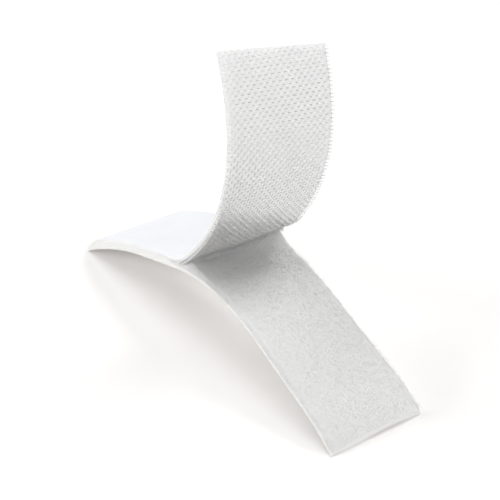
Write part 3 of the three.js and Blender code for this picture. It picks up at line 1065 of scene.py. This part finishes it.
hook_column_count = int(TAPE_WIDTH / HOOK_COLUMN_PITCH) + 2
hook_row_spare = int(HALF_WIDTH * HOOK_ROW_SKEW / HOOK_ROW_PITCH) + 1
hook_row_count = int(TAPE_LENGTH / HOOK_ROW_PITCH) + 1
lattice = []
for row in range(-hook_row_spare, hook_row_count + hook_row_spare):
    for column in range(hook_column_count):
        across = (column - hook_column_count // 2 + (row % 2) / 2) * HOOK_COLUMN_PITCH
        if abs(across) > HALF_WIDTH + HOOK_COLUMN_PITCH / 2:
            continue
        along = row * HOOK_ROW_PITCH + across * HOOK_ROW_SKEW
        lean = 1.0 if row % 2 else -1.0
        if abs(across) > HALF_WIDTH - HOOK_EDGE_BAND:
            lean = math.copysign(1.0, across)
            across = lean * HOOK_EDGE_PLACE
        foot = across - lean * HOOK_REACH / 2
        tip = across + lean * HOOK_REACH / 2
        clear = past_peel(along, across) > HOOK_FREE_AT or abs(tip) < HALF_WIDTH - HOOK_MATED_INSET
        if clear and HOOK_CUT_MARGIN <= along <= TAPE_LENGTH - HOOK_TIP_MARGIN:
            lattice.append((along, foot, lean))
hook_along, hook_across, hook_lean = np.array(lattice).T

for seed, part in enumerate(LENGTHS):
    ground = hook_band(
        f"hook_ground_{part}",
        part,
        GROUND_FACE,
        GROUND_TOP,
        ground_weave,
        GROUND_INSET,
        waver=0.03,
        phase=5.0,
    )
    bend_with_flap(ground, part, "hook_field")
    laid_on(part)
    kept = on_length(part)(hook_along, hook_across)
    feet = (hook_along[kept], hook_across[kept], np.full(kept.sum(), GROUND_FACE))
    onward, sideways, upward = directions(hook_point, *feet)
    hooks = carrier(
        f"hooks_{part}", hook_point(*feet), ahead=sideways * hook_lean[kept, None], away=-upward,
        tape_place=np.stack(feet, axis=-1),
    )
    grow(hooks, hooks_tree, Material=hook_nylon, Crown=HOOK_CROWN * MM, Seed=40 + seed)
    bend_with_flap(hooks, part)

# Fibres pulled from the pile: fine loops, greyed by painted fold shade, that stay caught in the hooks near
# the peel line.
# They lie loosely over the hook tips and thin out along the flap.
FIBRE_DENSITY = 19.0
FIBRE_FULL = 13.0
FIBRE_END = 24.0
FIBRE_SLANT = 0.45
FIBRE_START = 2.5
FIBRE_SPREAD = (-1.0, FIBRE_END + 3.0)
FIBRE_INSET = 0.2
FIBRE_TIP_MARGIN = 0.1
FIBRE_LEAST_DEPTH = 0.25
FIBRE_DROP = 0.35
FIBRE_DROP_PAST = (4.0, 4.0)
CAUGHT_LOOP = {"Loop_Width": 0.8 * MM, "Loop_Height": 0.22 * MM, "Fibre_Radius": 0.028 * MM}
caught_fibre = fibre_material(
    "caught_fibre",
    ((0.86, 0.86, 0.855), (0.90, 0.90, 0.895)),
    HOOK_FOLD_SHADE,
    roughness=0.8,
    specular=0.2,
    scale=1.4,
    detail=2.0,
)[0]
fibre_draw = np.random.default_rng(61)
fibre_count = int((FIBRE_SPREAD[1] - FIBRE_SPREAD[0]) * TAPE_WIDTH * FIBRE_DENSITY)
fibre_along = PEEL_AT + fibre_draw.uniform(*FIBRE_SPREAD, fibre_count)
fibre_across = fibre_draw.uniform(-1, 1, fibre_count) * (HALF_WIDTH - FIBRE_INSET)
fibre_past = past_peel(fibre_along, fibre_across)
fibre_slanted = fibre_past + FIBRE_SLANT * fibre_across
fibre_share = 1 - smooth_step((fibre_slanted - FIBRE_FULL) / (FIBRE_END - FIBRE_FULL))
fibre_kept = (fibre_past > FIBRE_START) & (fibre_draw.uniform(0, 1, fibre_count) < fibre_share)
fibre_drop = FIBRE_DROP * (1 - smooth_step((fibre_past - FIBRE_DROP_PAST[0]) / FIBRE_DROP_PAST[1]))
fibre_deep = HOOK_HEIGHT - FIBRE_TIP_MARGIN + fibre_drop
fibre_height = GROUND_FACE - fibre_draw.uniform(FIBRE_LEAST_DEPTH, fibre_deep)
for seed, part in enumerate(LENGTHS[:2]):
    kept = fibre_kept & on_length(part)(fibre_along, fibre_across)
    feet = (fibre_along[kept], fibre_across[kept], fibre_height[kept])
    onward, sideways, upward = directions(hook_point, *feet)
    fibres = carrier(
        f"caught_fibres_{part}", hook_point(*feet), ahead=sideways, away=-upward,
        tape_place=np.stack(feet, axis=-1),
    )
    grow(fibres, loops_tree, Material=caught_fibre, Seed=70 + seed, **CAUGHT_LOOP)
    bend_with_flap(fibres, part)

# Strung fibres: the longest loops, held by the pile at one end and by the hooks at the other.
# They bridge the mouth where the two tapes part, and are placed on the hook tape.
STRUNG_COUNT = 3200
STRUNG_PAST = (4.4, 8.2)
STRUNG_INSET = 1.4
STRUNG_DEPTH = (0.3, HOOK_HEIGHT + 0.3)
STRUNG_LEAN = 0.4
STRUNG_LOOP = {"Loop_Width": 0.5 * MM, "Loop_Height": 0.9 * MM, "Fibre_Radius": 0.028 * MM}
strung_draw = np.random.default_rng(62)
strung_past = strung_draw.uniform(*STRUNG_PAST, STRUNG_COUNT)
strung_across = strung_draw.uniform(-1, 1, STRUNG_COUNT) * (HALF_WIDTH - STRUNG_INSET)
strung_along = PEEL_AT + (strung_past + strung_across * math.sin(PEEL_SKEW)) / math.cos(PEEL_SKEW)
strung_height = GROUND_FACE - strung_draw.uniform(*STRUNG_DEPTH, STRUNG_COUNT)
strung_feet = (strung_along, strung_across, strung_height)
onward, sideways, upward = directions(hook_point, *strung_feet)
strung = carrier(
    "strung_fibres", hook_point(*strung_feet), ahead=sideways, away=unit(-upward - STRUNG_LEAN * onward),
    tape_place=np.stack(strung_feet, axis=-1),
)
# The strung fibres take the paler fibre, lightened as painted light in the mouth of the fold.
grow(strung, loops_tree, Material=painted_light_fibre, Seed=75, **STRUNG_LOOP)
bend_with_flap(strung, LENGTHS[0])

# Hook tape backing: the coated weave behind the hooks, with the weft turning back at both edges.
# Its face is covered by the adhesive, so it shows as a pale line along the edges.
hook_weave = woven_material("hook_backing_weave", (0.96, 0.96, 0.955), (0.88, 0.88, 0.875), 0.00005)
for seed, part in enumerate(LENGTHS):
    backing = hook_band(
        f"hook_backing_{part}_weave",
        part,
        HOOK_BACKING_TOP - HOOK_BACKING_THICKNESS,
        HOOK_BACKING_TOP,
        hook_weave,
        BACKING_INSET,
        waver=0.03,
        phase=2.2,
    )
    bend_with_flap(backing, part, "hook_backing")
    laid_on(part)
    hook_turns = weft_turns(
        f"hook_backing_turns_{part}",
        hook_point,
        TURNS_MARGIN,
        TAPE_LENGTH - TURNS_MARGIN,
        HOOK_BACKING_TOP - HOOK_BACKING_THICKNESS / 2,
        hook_weave,
        seed=50 + seed,
        keep=on_length(part),
    )
    bend_with_flap(hook_turns, part)

# Hook tape adhesive: the same soft rubber, coated on the back of the hook tape.
# It sits between the coated weave and the film, and only its edge shows.
for part in LENGTHS:
    adhesive = hook_band(
        f"hook_adhesive_{part}_layer",
        part,
        HOOK_ADHESIVE_TOP - ADHESIVE_THICKNESS,
        HOOK_ADHESIVE_TOP,
        adhesive_rubber,
        ADHESIVE_INSET,
        waver=0.05,
        phase=4.1,
    )
    bend_with_flap(adhesive, part, "hook_adhesive")

# Hook tape release liner: the same satin film with a cool white tint, on the outside of the mated part
# and of the flap. It bends with the tape and stays on it.
hook_film = film_material("hook_liner_film", (0.915, 0.925, 0.955), (0.89, 0.90, 0.93))
for part in LENGTHS:
    liner = hook_band(
        f"hook_liner_{part}_film", part, -LINER_THICKNESS, 0.0, hook_film, waver=0.02, phase=0.8
    )
    bend_with_flap(liner, part, "hook_liner")
    laid_on(part)

# Floor and light: a pale studio table among soft boxes, widest on the right and strongest low in front.
# The floor takes the tape's soft shadow near it, and turns into the plain white backdrop further out.
FLOOR_REACH = 3.0
FLOOR_GLOW = 0.07
FLOOR_LIT = (0.2, 0.7)
floor_corners = [(x * FLOOR_REACH, y * FLOOR_REACH, 0) for x, y in ((-1, -1), (1, -1), (1, 1), (-1, 1))]
floor_mesh = bpy.data.meshes.new("floor")
floor_mesh.from_pydata(floor_corners, [], [(0, 1, 2, 3)])
floor = bpy.data.objects.new("floor", floor_mesh)
bpy.context.scene.collection.objects.link(floor)
floor_paint = bpy.data.materials.new("floor_paint")
floor_paint.use_nodes = True
floor_tree = floor_paint.node_tree
floor_tree.nodes.remove(floor_tree.nodes["Principled BSDF"])


def seen_directly(tree):
    """1 for rays that show a surface as background: from the camera, a reflection or glass."""
    path = add_node(tree, "ShaderNodeLightPath")
    glossy, clear = path.outputs["Is Glossy Ray"], path.outputs["Is Transmission Ray"]
    mirrored = arithmetic(tree, "MAXIMUM", glossy, clear)
    return arithmetic(tree, "MAXIMUM", path.outputs["Is Camera Ray"], mirrored)


floor_seen = seen_directly(floor_tree)
floor_matt = add_node(floor_tree, "ShaderNodeBsdfDiffuse", Color=(0.985, 0.972, 0.962, 1))
floor_glow = add_node(
    floor_tree, "ShaderNodeEmission", Strength=arithmetic(floor_tree, "MULTIPLY", floor_seen, FLOOR_GLOW)
)
floor_near = add_node(floor_tree, "ShaderNodeAddShader", _0=result(floor_matt), _1=result(floor_glow))
floor_far = add_node(floor_tree, "ShaderNodeEmission", Strength=floor_seen)
floor_place = add_node(floor_tree, "ShaderNodeTexCoord").outputs["Object"]
floor_reach = add_node(floor_tree, "ShaderNodeVectorMath", {"operation": "LENGTH"}, _0=floor_place)
floor_share = add_node(
    floor_tree,
    "ShaderNodeMapRange",
    {"interpolation_type": "SMOOTHSTEP"},
    Value=floor_reach.outputs["Value"],
    From_Min=FLOOR_LIT[0],
    From_Max=FLOOR_LIT[1],
)
floor_mix = add_node(
    floor_tree, "ShaderNodeMixShader", _0=result(floor_share), _1=result(floor_near), _2=result(floor_far)
)
floor_tree.links.new(result(floor_mix), floor_tree.nodes["Material Output"].inputs["Surface"])
floor_mesh.materials.append(floor_paint)

world = bpy.data.worlds.new("studio")
bpy.context.scene.world = world
world.use_nodes = True
sky_tree = world.node_tree
sky = sky_tree.nodes["Background"]
sky.inputs["Color"].default_value = (1, 1, 1, 1)
sky_tree.links.new(seen_directly(sky_tree), sky.inputs["Strength"])

# Each soft box by its bearing and height in degrees, its power in watts and its size in metres.
SOFT_BOX_AIM = Vector((0.0, 0.0, 0.03))
SOFT_BOX_DISTANCE = 1.0
SOFT_BOXES = {
    "top_soft_box": (0, 90, 1.75, 0.45),
    "right_soft_box": (0, 32, 2.9, 0.9),
    "right_low_soft_box": (0, 12, 3.7, 0.9),
    "back_soft_box": (85, 52, 3.9, 0.45),
    "left_back_soft_box": (180, 52, 0.92, 0.45),
    "left_soft_box": (216, 52, 2.32, 0.45),
    "front_low_soft_box": (240, 14, 5.67, 0.45),
}
for name, (bearing, height, power, size) in SOFT_BOXES.items():
    bearing, height = math.radians(bearing), math.radians(height)
    toward = Vector((
        math.cos(bearing) * math.cos(height), math.sin(bearing) * math.cos(height), math.sin(height)
    ))
    soft_box = bpy.data.lights.new(name, "AREA")
    soft_box.size = size
    soft_box.energy = power
    lamp = bpy.data.objects.new(name, soft_box)
    lamp.location = SOFT_BOX_AIM + toward * SOFT_BOX_DISTANCE
    lamp.rotation_euler = (-toward).to_track_quat("-Z", "Y").to_euler()
    bpy.context.scene.collection.objects.link(lamp)

# Camera: a long lens that looks down on the tape from the front right, level to within half a degree.
# Its place and lens are worked out from the tape's edges in the photograph.
AZIMUTH = math.radians(53.904)
ELEVATION = math.radians(31.53)
ROLL = math.radians(0.423)
DISTANCE = 0.318102
LENS = 99.96
SENSOR = 36
AIM = Vector((0.004241, -0.002780, 0.023232))
back = Vector((
    math.sin(AZIMUTH) * math.cos(ELEVATION), -math.cos(AZIMUTH) * math.cos(ELEVATION), math.sin(ELEVATION)
))
right = (-back).cross(Vector((0, 0, 1))).normalized()
up = right.cross(-back)
turned_right = right * math.cos(ROLL) + up * math.sin(ROLL)
turned_up = up * math.cos(ROLL) - right * math.sin(ROLL)
camera_data = bpy.data.cameras.new("camera")
camera_data.sensor_width = SENSOR
camera_data.lens = LENS
camera_data.clip_start = 0.01
camera = bpy.data.objects.new("camera", camera_data)
camera.matrix_world = Matrix.Translation(AIM + back * DISTANCE) @ Matrix(
    (turned_right, turned_up, back)
).transposed().to_4x4()
bpy.context.scene.collection.objects.link(camera)
bpy.context.scene.camera = camera
bpy.context.scene.view_settings.view_transform = "Standard"
